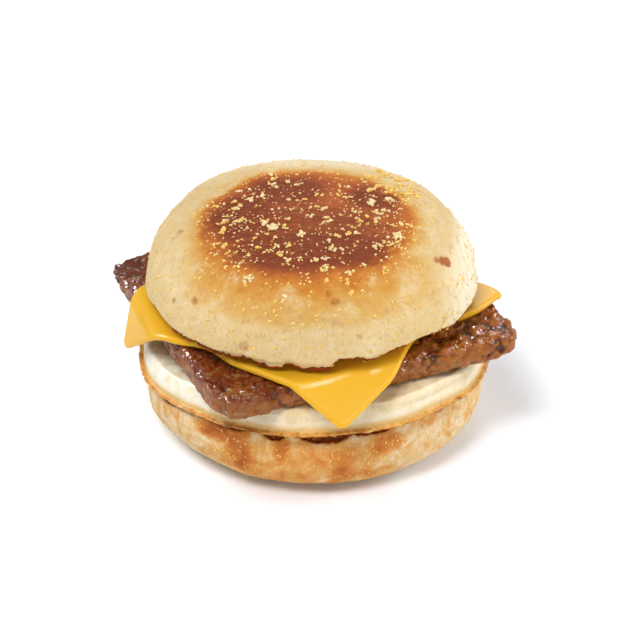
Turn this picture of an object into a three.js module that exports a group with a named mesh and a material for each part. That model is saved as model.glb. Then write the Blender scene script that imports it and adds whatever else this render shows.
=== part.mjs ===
// A breakfast sandwich: a split English muffin round a fried egg, a square sausage patty and a cheese slice.
// Millimetres, +Z up. The origin is the centre of the face that it rests on, and its front faces -Y.
import * as THREE from "three";

// ---- driving dimensions, from the muffin's diameter ----
const MUFFIN_DIAMETER = 95;

const BASE = {
  footRadius: 33.5, // the flat griddled face that it rests on
  widestRadius: MUFFIN_DIAMETER / 2 + 1.8,
  widestHeight: 13,
  height: 22,
  cutRadius: 47, // where the fork-split face starts
};
const EGG = { radius: 51.2, height: 7.8, topRadius: 47.8, flangeHeight: 1.6 };
const SAUSAGE = {
  sides: [94.4, 93.2],
  height: 8,
  turn: THREE.MathUtils.degToRad(23.4),
  centre: [-0.6, 4],
  squareness: 13, // the power of the superellipse that rounds its corners
  edgeRadius: 2.4,
};
const CHEESE = {
  sides: [79.5, 87.5], // a softened slice, pulled a little longer one way
  thickness: 2.2,
  turn: THREE.MathUtils.degToRad(54),
  centre: [-3.1, -5.3],
  cornerRadius: 2.6,
};
const CROWN = {
  centre: [-1.1, -1.5],
  radius: MUFFIN_DIAMETER / 2,
  cutRadius: 46.6,
  height: 28.9,
  widestHeight: 3.2,
  fullness: 0.5, // below 1, the dome's shoulder is fuller than a ball's
  lean: [0.012, 0.045], // how far its right and its back stand higher
};
const REST_GAP = 0.3; // between each layer and the one that it lies on
const SEGMENTS = 56;

// ---- heights of the layers, from the bottom up ----
const EGG_BOTTOM = BASE.height + REST_GAP;
const SAUSAGE_BOTTOM = EGG_BOTTOM + EGG.height + REST_GAP;
const CHEESE_BOTTOM = SAUSAGE_BOTTOM + SAUSAGE.height + REST_GAP;
const CROWN_BOTTOM = CHEESE_BOTTOM + CHEESE.thickness + REST_GAP;

// ---- finishes ----
const bread = new THREE.MeshStandardMaterial({ color: "#e3c48d", roughness: 0.85, metalness: 0 });
const toastedBread = new THREE.MeshStandardMaterial({ color: "#d9ae72", roughness: 0.85, metalness: 0 });
const friedEgg = new THREE.MeshStandardMaterial({ color: "#f3ecd8", roughness: 0.45, metalness: 0 });
const friedSausage = new THREE.MeshStandardMaterial({ color: "#85502c", roughness: 0.4, metalness: 0 });
const processedCheese = new THREE.MeshStandardMaterial({ color: "#f5bb3c", roughness: 0.35, metalness: 0 });

// A smooth unevenness round the food: each term is [waves round the circle, phase, share].
const unevenness = (angle, terms) =>
  terms.reduce((sum, [waves, phase, share]) => sum + share * Math.sin(waves * angle + phase), 0);

const smoothstep = (from, to, x) => {
  const t = THREE.MathUtils.clamp((x - from) / (to - from), 0, 1);
  return t * t * (3 - 2 * t);
};

// A hollow at one direction round the rim, 1 at its middle and 0 outside its half width, in radians.
const notch = (angle, at, halfWidth) => {
  const away = Math.abs(Math.atan2(Math.sin(angle - at), Math.cos(angle - at)));
  return 1 - smoothstep(0, halfWidth, away);
};

// The deepest of several hollows, each [direction, half width, depth] in degrees and mm, at one direction.
const hollowed = (angle, hollows) =>
  Math.max(
    ...hollows.map(
      ([at, halfWidth, depth]) =>
        depth * notch(angle, THREE.MathUtils.degToRad(at), THREE.MathUtils.degToRad(halfWidth))
    )
  );

// A round piece: the profile [radius, height] turned about Z, and then shape(point, angle, radius) moves each
// point.
function turned(profile, shape, segments = SEGMENTS) {
  const points = profile.map(([radius, height]) => new THREE.Vector2(radius, height));
  const geometry = new THREE.LatheGeometry(points, segments);
  geometry.rotateX(Math.PI / 2);
  const position = geometry.getAttribute("position");
  const point = new THREE.Vector3();
  for (let i = 0; i < position.count; i++) {
    point.fromBufferAttribute(position, i);
    const radius = Math.hypot(point.x, point.y);
    if (radius > 1e-6) shape(point, Math.atan2(point.y, point.x), radius);
    else shape(point, 0, 0);
    position.setXYZ(i, point.x, point.y, point.z);
  }
  geometry.computeVertexNormals();
  return geometry;
}

const stretch = (point, factor) => {
  point.x *= factor;
  point.y *= factor;
};

// A quarter of an ellipse from [r0, z0] to [r1, z1] that leaves the first point level.
const quarterEllipse = ([r0, z0], [r1, z1], steps, power = 1) =>
  Array.from({ length: steps + 1 }, (_, i) => {
    const a = ((i / steps) * Math.PI) / 2;
    return [r0 + (r1 - r0) * Math.sin(a) ** power, z0 + (z1 - z0) * (1 - Math.cos(a))];
  });

function named(name, geometry, material) {
  const mesh = new THREE.Mesh(geometry, material);
  mesh.name = name;
  return mesh;
}

// ---- the muffin's lower half: a flat griddled foot, a bowl-shaped side and a fork-split face ----
const BASE_HOLLOWS = [
  // [direction in degrees, half width in degrees, depth]
  [-98, 17, 3.2],
  [-72, 15, 2.6],
  [-40, 8, 1.6],
  [-140, 10, 1.2],
  [35, 14, 2.4],
  [100, 18, 2.8],
  [165, 12, 2.0],
];

// Where the base's split rim, and the egg's edge on it, sit lower than the middle.
const RIM_SAGS = [
  [-18, 34, 2.4],
  [208, 26, 1.8],
];
// The split face and the egg's underside both have rings at these radii, so they sag alike.
const SEAT_RADII = [0.78, 0.86, 0.93, 1].map((share) => BASE.cutRadius * share);
const nearRim = (radius) => smoothstep(SEAT_RADII[0], BASE.cutRadius, radius);
const sagAt = (radius, angle) => nearRim(radius) * hollowed(angle, RIM_SAGS);

function muffinBase() {
  const side = quarterEllipse([BASE.footRadius, 0], [BASE.widestRadius, BASE.widestHeight], 6);
  const profile = [
    [0, 0],
    [BASE.footRadius * 0.55, 0],
    ...side,
    [BASE.widestRadius - 0.2, BASE.height * 0.8],
    [BASE.widestRadius - 1, BASE.height - 0.9],
    ...SEAT_RADII.map((at) => [at, BASE.height]).reverse(),
    [BASE.cutRadius * 0.4, BASE.height],
    [0, BASE.height],
  ];
  const outline = [[2, 0.4, 0.35], [3, 2.1, 0.4], [5, 1.2, 0.3], [9, 0.3, 0.16], [14, 2.2, 0.1]];
  const geometry = turned(profile, (point, angle, radius) => {
    const outer = smoothstep(0.3, 1, radius / BASE.widestRadius);
    const high = smoothstep(0.1, 1, point.z / BASE.height);
    stretch(point, 1 + (outer * high * unevenness(angle, outline)) / BASE.widestRadius);
    const drop = nearRim(radius) * hollowed(angle, BASE_HOLLOWS) + sagAt(radius, angle);
    point.z -= drop * smoothstep(BASE.height * 0.72, BASE.height, point.z);
  });
  return named("muffin_base", geometry, toastedBread);
}

// ---- the egg: a ring-fried disc with a thin browned flange round its foot ----
function eggPatty() {
  const { radius, height, topRadius, flangeHeight } = EGG;
  const wall = quarterEllipse([0, 0], [1, 1], 4).map(([along, up]) => [
    radius - 1.4 - (radius - 1.4 - topRadius) * up,
    flangeHeight + (height - flangeHeight) * along,
  ]);
  const profile = [
    [0, 0],
    [BASE.cutRadius * 0.4, 0],
    ...SEAT_RADII.map((at) => [at, 0]),
    [radius - 2, 0],
    [radius - 0.3, 0.3],
    [radius, 0.9],
    ...wall,
    [topRadius * 0.72, height],
    [topRadius * 0.36, height],
    [0, height],
  ];
  const outline = [[2, 1.1, 0.35], [3, 0.2, 0.3], [7, 2.4, 0.25], [11, 0.9, 0.2]];
  const geometry = turned(profile, (point, angle, at) => {
    point.z += EGG_BOTTOM - sagAt(at, angle);
    stretch(point, 1 + (smoothstep(0.5, 1, at / radius) * unevenness(angle, outline)) / radius);
  });
  return named("egg_patty", geometry, friedEgg);
}

// ---- the sausage: a pressed square of minced meat with rounded corners and edges ----
function sausagePatty() {
  const { sides, height, turn, centre, squareness, edgeRadius } = SAUSAGE;
  const [half, halfDepth] = sides.map((side) => side / 2);
  const bend = 4;
  const under = Array.from({ length: bend + 1 }, (_, i) => {
    const a = ((i / bend) * Math.PI) / 2;
    return [1 - (edgeRadius / half) * (1 - Math.sin(a)), edgeRadius * (1 - Math.cos(a))];
  });
  const over = under.map(([r, z]) => [r, height - z]).reverse();
  const profile = [[0, 0], [0.5, 0], ...under, ...over, [0.66, height], [0.33, height], [0, height]];
  const outline = [[3, 0.8, 0.35], [5, 1.9, 0.3], [8, 0.4, 0.25], [13, 2.7, 0.2]];
  const geometry = turned(
    profile,
    (point, angle, at) => {
      const [across, along] = [Math.abs(Math.cos(angle)), Math.abs(Math.sin(angle))];
      const corner = (across ** squareness + along ** squareness) ** (-1 / squareness);
      stretch(point, half * corner + smoothstep(0.5, 1, at) * unevenness(angle, outline));
      point.y *= halfDepth / half;
      point.z += SAUSAGE_BOTTOM;
    },
    64
  );
  geometry.rotateZ(turn);
  geometry.translate(centre[0], centre[1], 0);
  return named("sausage_patty", geometry, friedSausage);
}

// ---- the cheese: a square slice bent over the sausage's sides at its corners ----
// Each bend starts at a straight line, so many mm from the Z axis in its direction, and turns down by its
// angle in degrees.
const CHEESE_BENDS = [
  { direction: -66.6, distance: 43, angle: 33, radius: 6 }, // the front corner
  { direction: 197.5, distance: 45.9, angle: 66, radius: 6 }, // the left corner
  { direction: 25, distance: 46.5, angle: 35, radius: 6 }, // the right corner
  { direction: 113, distance: 48, angle: 40, radius: 6 }, // the back corner
];

// Where the slice's long sides are drawn in, as soft cheese is where the crown pinches it.
const CHEESE_DENTS = [
  { axis: "x", along: 6, halfWidth: 12, depth: 2.8 }, // the front left side
  { axis: "y", along: 4, halfWidth: 24, depth: 5.8 }, // the front right side
];

// Draws in a point of the flat slice near the side that faces against the dent's axis.
function drawnIn(point, { axis, along, halfWidth, depth }, halfSides) {
  const other = axis === "x" ? "y" : "x";
  const half = halfSides[axis === "x" ? 0 : 1];
  const near = 1 - smoothstep(0, halfWidth, Math.abs(point[other] - along));
  point[axis] += depth * near * smoothstep(0.4, 1, -point[axis] / half);
}

// A point of the flat slice, bent down beyond the line, and the slope that it gets there.
function bent(point, normal, { direction, distance, angle, radius }) {
  const heading = THREE.MathUtils.degToRad(direction);
  const full = THREE.MathUtils.degToRad(angle);
  const [nx, ny] = [Math.cos(heading), Math.sin(heading)];
  const beyond = point.x * nx + point.y * ny - distance;
  if (beyond <= 0) return;
  const slope = Math.min(beyond / radius, full);
  const straight = Math.max(beyond - radius * full, 0);
  const level = radius * Math.sin(slope) + straight * Math.cos(full);
  const drop = radius * (1 - Math.cos(slope)) + straight * Math.sin(full);
  point.x += (level - beyond) * nx;
  point.y += (level - beyond) * ny;
  point.z -= drop;
  normal.set(nx * Math.sin(slope), ny * Math.sin(slope), Math.cos(slope));
}

function cheeseSlice() {
  const { sides, thickness, turn, centre, cornerRadius } = CHEESE;
  const steps = 22;
  const inner = sides.map((side) => side / 2 - cornerRadius);
  const geometry = new THREE.BoxGeometry(...sides, thickness, steps, steps, 1);
  const position = geometry.getAttribute("position");
  const middle = CHEESE_BOTTOM + thickness / 2;
  const point = new THREE.Vector3();
  const normal = new THREE.Vector3();
  for (let i = 0; i < position.count; i++) {
    point.fromBufferAttribute(position, i);
    const offset = point.z;
    const [dx, dy] = [Math.abs(point.x) - inner[0], Math.abs(point.y) - inner[1]];
    if (dx > 0 && dy > 0) {
      const pull = cornerRadius / Math.max(cornerRadius, Math.hypot(dx, dy));
      point.x = Math.sign(point.x) * (inner[0] + dx * pull);
      point.y = Math.sign(point.y) * (inner[1] + dy * pull);
    }
    for (const dent of CHEESE_DENTS) drawnIn(point, dent, [sides[0] / 2, sides[1] / 2]);
    point.set(point.x, point.y, 0).applyAxisAngle(new THREE.Vector3(0, 0, 1), turn);
    point.x += centre[0];
    point.y += centre[1];
    point.z = middle;
    normal.set(0, 0, 1);
    for (const bend of CHEESE_BENDS) bent(point, normal, bend);
    point.addScaledVector(normal, offset);
    position.setXYZ(i, point.x, point.y, point.z);
  }
  geometry.computeVertexNormals();
  return named("cheese_slice", geometry, processedCheese);
}

// ---- the muffin's upper half: a domed crown with an uneven split rim ----
// How high the rim stands over the cheese, as [direction in degrees, height] round the crown.
const CROWN_RIM = [
  [-180, 2.2], [-171, 2.5], [-157, 3.8], [-151, 3.2], [-147, 1.4], [-134, 1.5], [-128, 1.7], [-121, 1.1],
  [-112, 2.1], [-108, 1.4], [-103, 0.2], [-99.5, 0.5], [-97.5, 2.0], [-94.5, 1.6], [-92, 0.5], [-83, 1.1],
  [-80.5, 4.2], [-73.5, 3.8], [-70.5, 2.1], [-64, 2.1], [-57, 3.5], [-50, 4.6], [-44, 3.8], [-36, 2.3],
  [-29, 1.5], [-20, 1.5], [-10, 0.7], [0, 1.0], [20, 2.2], [45, 1.0], [70, 2.4], [95, 1.2], [120, 2.6],
  [145, 1.2], [165, 2.0], [180, 2.2],
];

function rimAt(angle) {
  const direction = THREE.MathUtils.radToDeg(Math.atan2(Math.sin(angle), Math.cos(angle)));
  const next = Math.max(1, CROWN_RIM.findIndex(([at]) => at >= direction));
  const [[from, low], [to, high]] = [CROWN_RIM[next - 1], CROWN_RIM[next]];
  return low + ((high - low) * (direction - from)) / (to - from);
}

function muffinCrown() {
  const { centre, radius, cutRadius, height, widestHeight, fullness, lean } = CROWN;
  const rise = height - widestHeight;
  const dome = [0, 10, 20, 30, 40, 50, 60, 69, 77, 84].map((degrees) => {
    const a = THREE.MathUtils.degToRad(degrees);
    return [radius * Math.cos(a) ** fullness, widestHeight + rise * Math.sin(a) ** 0.94];
  });
  const profile = [
    [0, 0],
    [cutRadius * 0.45, 0],
    [cutRadius * 0.8, 0],
    [cutRadius * 0.93, 0],
    [cutRadius, 0],
    [radius - 0.7, widestHeight * 0.45],
    ...dome,
    [0, height],
  ];
  const outline = [[2, 2.6, 0.4], [3, 0.6, 0.45], [5, 1.7, 0.25], [8, 0.2, 0.15]];
  const geometry = turned(profile, (point, angle, at) => {
    const outer = smoothstep(0.3, 1, at / radius);
    stretch(point, 1 + (outer * unevenness(angle, outline)) / radius);
    const rim = smoothstep(cutRadius * 0.8, cutRadius, at) * (1 - smoothstep(0, widestHeight * 2, point.z));
    const tip = (point.x * lean[0] + point.y * lean[1]) * smoothstep(0, height, point.z);
    point.z += tip + rim * rimAt(angle);
    point.z += CROWN_BOTTOM;
  });
  geometry.translate(centre[0], centre[1], 0);
  return named("muffin_crown", geometry, bread);
}

const sandwich = new THREE.Group();
sandwich.add(muffinBase(), eggPatty(), sausagePatty(), cheeseSlice(), muffinCrown());

export default sandwich;
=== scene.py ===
"""A breakfast sandwich: a griddled, split muffin round a fried egg, a sausage patty and a slice of cheese.

Each layer is built here as a fine mesh in the place of its plain CAD solid. Shapes are worked out in
millimetres and turned to metres when a mesh is made. A layer's broad marks, such as where the griddle
toasted it, are numbers kept on its vertices. Geometry Nodes give it its relief and scatter the cornmeal,
and the fine patterns of a material read Object coordinates, in millimetres.
"""

import math
from functools import partial

import bpy
import numpy as np
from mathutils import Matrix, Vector


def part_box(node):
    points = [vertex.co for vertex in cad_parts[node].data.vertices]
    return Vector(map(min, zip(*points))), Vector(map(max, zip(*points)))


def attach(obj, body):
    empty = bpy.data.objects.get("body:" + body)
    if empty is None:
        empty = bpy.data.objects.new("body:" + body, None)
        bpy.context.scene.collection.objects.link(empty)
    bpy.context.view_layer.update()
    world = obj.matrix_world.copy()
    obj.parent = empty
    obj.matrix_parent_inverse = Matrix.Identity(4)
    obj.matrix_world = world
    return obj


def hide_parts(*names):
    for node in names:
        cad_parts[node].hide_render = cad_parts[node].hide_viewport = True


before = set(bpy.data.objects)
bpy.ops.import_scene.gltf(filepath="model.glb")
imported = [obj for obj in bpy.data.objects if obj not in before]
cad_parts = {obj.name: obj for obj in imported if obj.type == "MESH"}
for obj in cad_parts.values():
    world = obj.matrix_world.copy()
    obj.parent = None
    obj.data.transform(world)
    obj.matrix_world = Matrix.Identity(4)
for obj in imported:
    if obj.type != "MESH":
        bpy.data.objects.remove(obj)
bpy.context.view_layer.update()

MM = 0.001  # metres in a millimetre
GAP = 0.3  # between a layer and the one under it, as in the frame


def height_range(node):
    """The lowest and highest point of a CAD node, in mm."""
    low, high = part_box(node)
    return low.z / MM, high.z / MM


# ---------------------------------------------------------------- driving sizes, in mm and degrees
BASE_HEIGHT = height_range("muffin_base")[1]
BASE_FOOT_RADIUS = 33.5
BASE_WIDEST = (49.3, 13.0)  # radius, height
BASE_CUT_RADIUS = 47.0

EGG_RADIUS = 51.2
EGG_TOP_RADIUS = 47.8
EGG_FLANGE = 1.1  # height of the thin edge at its foot
EGG_BOTTOM = BASE_HEIGHT + GAP
EGG_HEIGHT = height_range("egg_patty")[1] - EGG_BOTTOM

SAUSAGE_SIDES = (94.4, 93.2)
SAUSAGE_EDGE = 2.4  # radius of its round edges
SAUSAGE_TURN = 23.4
SAUSAGE_CENTRE = (-0.6, 4.0)
SAUSAGE_SQUARENESS = 13.0  # the power of its outline, which is a superellipse
SAUSAGE_BOTTOM, SAUSAGE_TOP = height_range("sausage_patty")

CHEESE_SIDES = (79.5, 87.5)
CHEESE_THICKNESS = 2.2
CHEESE_TURN = 54.0
CHEESE_CENTRE = (-3.1, -5.3)
CHEESE_CORNER = 2.6  # radius of its corners
CHEESE_ROUNDING = 1.1  # how far in from its outline it reaches its full thickness
CHEESE_TOP = height_range("cheese_slice")[1]

CROWN_CENTRE = (-1.1, -1.5)
CROWN_RADIUS = 47.5
CROWN_CUT_RADIUS = 46.6
CROWN_BOTTOM = CHEESE_TOP + GAP
CROWN_HEIGHT = 28.9
CROWN_WIDEST = 3.2  # height of its widest ring
CROWN_LEAN = (0.012, 0.045)  # how far its top rises for each mm along X and Y

# How finely each layer is meshed: the points round it, and how far apart the points along its profile lie
# where it shows and where it is hidden.
BASE_MESH = (620, 0.42, 1.4)
EGG_MESH = (720, 0.36, 2.0)
SAUSAGE_MESH = (620, 0.42, 1.8)
CROWN_MESH = (540, 0.42, 1.8)
CHEESE_CELLS = 168  # along each of its sides

# ---------------------------------------------------------------- marks on the food, places in mm
# The griddle's patch on the crown: the middle and the half widths of an ellipse.
CROWN_PATCH = ((-2.0, -9.8), (29.2, 26.4))
# Where the patch is darkest, and where it stayed gold: (middle, half widths, strength).
CROWN_DARKEST = [
    ((0, -26), (27, 9), 1.0),
    ((-8, 6), (12, 9), 0.9),
    ((18, 2), (9, 7), 0.9),
    ((-20, -9), (10, 13), 0.95),
    ((-3, -13), (24, 12), 0.6),
]
CROWN_CLEARING = [((22, -9), (6, 3), 1.0), ((6, 3), (4, 8), 0.5)]
# Small scorched spots on the crown: (place, radius, strength).
CROWN_SCORCHES = [
    ((37.1, -19.2, 60.3), 1.5, 1.4),
    ((35.4, -20.2, 61.1), 1.4, 1.1),
    ((33.8, -21.2, 61.9), 1.2, 0.8),
    ((5.8, -42.4, 60.3), 1.3, 0.7),
    ((4.0, -40.9, 61.8), 1.0, 0.6),
    ((6.4, -46.1, 55.2), 2.0, 0.35),
    ((-18.8, -44.9, 48.3), 1.6, 0.5),
    ((-32.4, -33.2, 55.6), 1.4, 0.6),
    ((-38.3, -28.0, 52.8), 1.0, 0.6),
    ((-37.9, -7.8, 64.0), 1.4, 0.5),
    ((-17.7, -44.6, 51.3), 1.1, 0.4),
    ((12.0, -46.3, 51.9), 1.1, 0.4),
    ((20.0, 40.0, 58.0), 1.7, 0.6),
    ((-30.0, 34.0, 57.0), 1.4, 0.7),
]
# Folds in the crown's skin: (one end, other end, depth, half width).
CROWN_FOLDS = [
    ((40.9, -19.8, 55.0), (37.0, -29.0, 48.9), 0.55, 1.2),
    ((37.0, -29.0, 48.9), (33.0, -34.0, 43.0), 0.8, 1.4),
    ((33.0, -28.0, 58.0), (37.5, -26.5, 51.5), 0.25, 1.2),
    ((-44.0, -12.0, 50.0), (-43.0, -18.0, 44.0), 0.5, 1.3),
    ((-12.0, 44.0, 52.0), (-20.0, 42.5, 44.0), 0.6, 1.5),
    ((30.0, 35.0, 54.0), (36.0, 31.0, 45.0), 0.5, 1.4),
]
# The larger heaps of cornmeal on the crown: (x, y, radius, yellowness).
CROWN_HEAPS = [
    (-25.5, -15.0, 1.9, 0.95), (-24.4, -21.5, 1.5, 0.8), (9.5, 2.5, 1.7, 0.55), (7.0, 3.4, 1.0, 0.9),
    (15.2, -9.0, 1.2, 0.9), (9.8, -19.0, 1.3, 0.95), (-15.2, -24.0, 1.2, 0.85), (23.4, -18.5, 2.1, 0.2),
    (17.5, -24.0, 1.5, 0.3), (24.9, -22.7, 1.1, 0.5), (19.8, -32.3, 1.5, 0.85), (2.9, -35.3, 1.9, 0.6),
    (-9.4, -28.0, 1.5, 0.55), (-2.9, -19.0, 1.6, 0.15), (-11.3, -15.0, 2.2, 0.05), (-13.5, -13.0, 1.3, 0.1),
    (16.5, -1.5, 1.9, 0.1), (19.0, 21.0, 1.6, 0.85), (-18.1, 1.0, 2.0, 0.1), (-15.0, 2.2, 1.5, 0.1),
    (-21.5, -3.8, 1.4, 0.3), (-26.0, 0.4, 1.2, 0.9), (-30.9, 0.5, 1.2, 0.2), (-11.4, 8.4, 1.9, 0.2),
    (-8.0, 11.0, 1.2, 0.2), (-17.7, -35.0, 1.6, 0.2), (-7.6, -41.5, 1.1, 0.1), (9.4, -37.5, 1.1, 0.9),
    (24.9, 12.4, 1.6, 0.9), (28.4, 5.3, 1.4, 0.85), (-1.0, -10.0, 1.4, 0.2), (5.5, -26.0, 1.1, 0.5),
]
# Browned places on the base's side: (place, half widths, strength).
BASE_BROWNED = [
    ((0.0, -48.0, 8.0), (30.0, 12.0, 11.0), 0.35),
    ((-20.5, -44.0, 15.0), (4.0, 4.0, 8.0), 0.9),
    ((-27.0, -40.0, 19.0), (6.0, 6.0, 3.5), 0.8),
    ((-9.0, -48.0, 16.5), (3.0, 4.0, 4.0), 0.8),
    ((8.2, -47.1, 8.5), (4.5, 4.0, 4.0), 0.75),
    ((20.0, -44.0, 16.5), (7.0, 5.0, 3.0), 0.7),
    ((2.0, -48.0, 11.5), (3.0, 4.0, 5.0), 0.4),
    ((33.0, -36.0, 19.0), (7.0, 5.0, 2.5), 0.6),
    ((30.0, 38.0, 15.0), (9.0, 9.0, 5.0), 0.7),
    ((-34.0, 34.0, 14.0), (8.0, 8.0, 6.0), 0.7),
]
# Paler places there, on its sides where the rim lights fall on it: painted light. Each is (place, half
# widths, strength).
BASE_PALE = [
    ((38.0, -26.0, 12.0), (20.0, 22.0, 14.0), 1.0),
    ((-44.0, -18.0, 10.0), (12.0, 18.0, 14.0), 0.6),
    ((30.0, 38.0, 6.0), (12.0, 12.0, 8.0), 0.8),
]


# ---------------------------------------------------------------- small maths
def smoothstep(start, end, x):
    """Rises smoothly from 0 where x is at start to 1 where it is at end."""
    t = np.clip((np.asarray(x, float) - start) / (end - start), 0, 1)
    return t * t * (3 - 2 * t)


def waves(angle, terms):
    """A smooth unevenness round the food: each term is (waves round the circle, phase, share)."""
    return sum(share * np.sin(count * angle + phase) for count, phase, share in terms)


def ragged(angle, seed, wave_counts, share):
    """A torn edge: many short waves of random phase, about share high."""
    random = np.random.default_rng(seed)
    total = sum(
        random.uniform(0.5, 1) * np.sin(count * angle + random.uniform(0, 2 * math.pi))
        for count in wave_counts
    )
    return share * total / math.sqrt(len(wave_counts) / 2)


def hollowed(angle, hollows):
    """The deepest of several hollows at a direction: each is (direction, half width, depth, flat share)."""
    deepest = np.zeros_like(angle)
    for direction, half_width, depth, flat_share in hollows:
        turn = angle - math.radians(direction)
        away = np.abs(np.arctan2(np.sin(turn), np.cos(turn))) / math.radians(half_width)
        deepest = np.maximum(deepest, depth * (1 - smoothstep(flat_share, 1, away)))
    return deepest


def strongest(places, marks, soft=0.5):
    """The strongest of several marks (middle, half widths, strength) at each place, fading over its rim."""
    best = np.zeros(len(places))
    for middle, half, strength in marks:
        away = np.linalg.norm((places[:, : len(middle)] - middle) / half, axis=1)
        best = np.maximum(best, strength * (1 - smoothstep(1 - soft, 1 + soft, away)))
    return best


def resampled(points, spacing):
    """Points along a profile [radius, height], as far apart as spacing(radius, height) says."""
    points = np.array(points, float)
    steps = np.hypot(*np.diff(points, axis=0).T)
    middles = (points[1:] + points[:-1]) / 2
    counts = np.concatenate([[0], np.cumsum(steps / spacing(middles[:, 0], middles[:, 1]))])
    wanted = np.linspace(0, counts[-1], int(round(counts[-1])) + 1)
    return np.stack([np.interp(wanted, counts, points[:, i]) for i in (0, 1)], axis=1)


def rotated(x, y, degrees):
    """Places turned about the Z axis."""
    turn = math.radians(degrees)
    return x * math.cos(turn) - y * math.sin(turn), x * math.sin(turn) + y * math.cos(turn)


def arc(start, end, steps):
    """A quarter of an ellipse from one [radius, height] to another, level at its start."""
    turn = np.linspace(0, math.pi / 2, steps + 1)
    (r0, z0), (r1, z1) = start, end
    return np.stack([r0 + (r1 - r0) * np.sin(turn), z0 + (z1 - z0) * (1 - np.cos(turn))], 1)


# ---------------------------------------------------------------- meshes
def linked(name, data):
    """A new object in the scene."""
    made = bpy.data.objects.new(name, data)
    bpy.context.scene.collection.objects.link(made)
    return made


def new_piece(name, places, faces, **fields):
    """An object of a closed mesh, its places in mm. Each field becomes a number on every vertex."""
    mesh = bpy.data.meshes.new(name)
    mesh.from_pydata((np.asarray(places) * MM).tolist(), [], faces)
    mesh.shade_smooth()
    mesh.update()
    piece = linked(name, mesh)
    for field, values in fields.items():
        set_field(piece, field, values)
    return piece


def set_field(piece, name, values):
    """Stores one number on every vertex of a piece."""
    layer = piece.data.attributes.get(name) or piece.data.attributes.new(name, "FLOAT", "POINT")
    count = len(piece.data.vertices)
    layer.data.foreach_set("value", np.broadcast_to(values, count).astype(np.float32))


def vertex_places(piece):
    """The places of a piece's vertices, in mm."""
    places = np.zeros(len(piece.data.vertices) * 3, np.float32)
    piece.data.vertices.foreach_get("co", places)
    return places.reshape(-1, 3) / MM


def turned(profile, fineness, hidden):
    """A profile [radius, height], from the axis underneath to the axis on top, turned about Z.

    fineness is a row such as BASE_MESH, and hidden(radius, height) says where the profile is hidden. Returns
    the angle, radius and height of every point, and the faces.
    """
    segments, shown_spacing, hidden_spacing = fineness
    profile = resampled(profile, lambda r, z: np.where(hidden(r, z), hidden_spacing, shown_spacing))
    rings = len(profile) - 2
    angle = np.tile(np.arange(segments) * 2 * math.pi / segments, rings)
    radius = np.repeat(profile[1:-1, 0], segments)
    height = np.repeat(profile[1:-1, 1], segments)
    bottom, top = rings * segments, rings * segments + 1
    last = (rings - 1) * segments
    faces = []
    for i in range(segments):
        j = (i + 1) % segments
        faces.append((bottom, j, i))
        faces.append((top, last + i, last + j))
        for here in range(0, last, segments):
            faces.append((here + i, here + j, here + segments + j, here + segments + i))
    angle = np.append(angle, [0, 0])
    radius = np.append(radius, [0, 0])
    height = np.append(height, [profile[0, 1], profile[-1, 1]])
    return angle, radius, height, faces


def pressed_in(places, centre, folds):
    """Presses narrow folds into a shape, towards its centre. A fold of negative depth stands up."""
    inward = np.asarray(centre) - places
    inward /= np.maximum(np.linalg.norm(inward, axis=1), 1e-6)[:, None]
    depth = np.zeros(len(places))
    for start, end, fold_depth, half_width in folds:
        start, along = np.array(start), np.subtract(end, start)
        share = np.clip((places - start) @ along / (along @ along), 0, 1)
        away = np.linalg.norm(places - start - share[:, None] * along, axis=1)
        press = fold_depth * (1 - smoothstep(0, half_width, away))
        depth = np.where(np.abs(press) > np.abs(depth), press, depth)
    return places + inward * depth[:, None]


# ---------------------------------------------------------------- nodes
def to_linear(colour):
    """An sRGB hex colour, such as "#f4bf3e", as the linear colour with alpha that Blender takes."""
    parts = [int(colour[i : i + 2], 16) / 255 for i in (1, 3, 5)]
    return tuple(p / 12.92 if p <= 0.04045 else ((p + 0.055) / 1.055) ** 2.4 for p in parts) + (1.0,)


NODE_FAMILIES = ("ShaderNode", "GeometryNode", "FunctionNode")


def add_node(tree, kind, inputs=(), operation=None, stops=None, output=None, **settings):
    """Adds a node, sets its properties and inputs, and returns an output: the named or the first one.

    kind is the name of its type without the family, such as "TexNoise" for ShaderNodeTexNoise. inputs go by
    name or number, or in order, and each is a number, a hex colour or another node's output. operation is
    what a Math or VectorMath node works out, and stops are a colour ramp's places and hex colours.
    """
    made = tree.nodes.new(next(f + kind for f in NODE_FAMILIES if hasattr(bpy.types, f + kind)))
    if operation:
        made.operation = operation
    for name, value in settings.items():
        setattr(made, name, value)
    for key, value in inputs.items() if isinstance(inputs, dict) else enumerate(inputs):
        usable = [s for s in made.inputs if s.enabled and s.name == key]
        socket = usable[0] if usable else made.inputs[key]
        if isinstance(value, bpy.types.NodeSocket):
            tree.links.new(value, socket)
        else:
            socket.default_value = to_linear(value) if str(value).startswith("#") else value
    if stops:
        ramp = made.color_ramp
        while len(ramp.elements) < len(stops):
            ramp.elements.new(0.5)
        for element, (place, colour) in zip(ramp.elements, stops):
            element.position = place
            element.color = to_linear(colour)
    if output:
        return next(o for o in made.outputs if o.enabled and o.name == output)
    return next((o for o in made.outputs if o.enabled), None)


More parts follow.
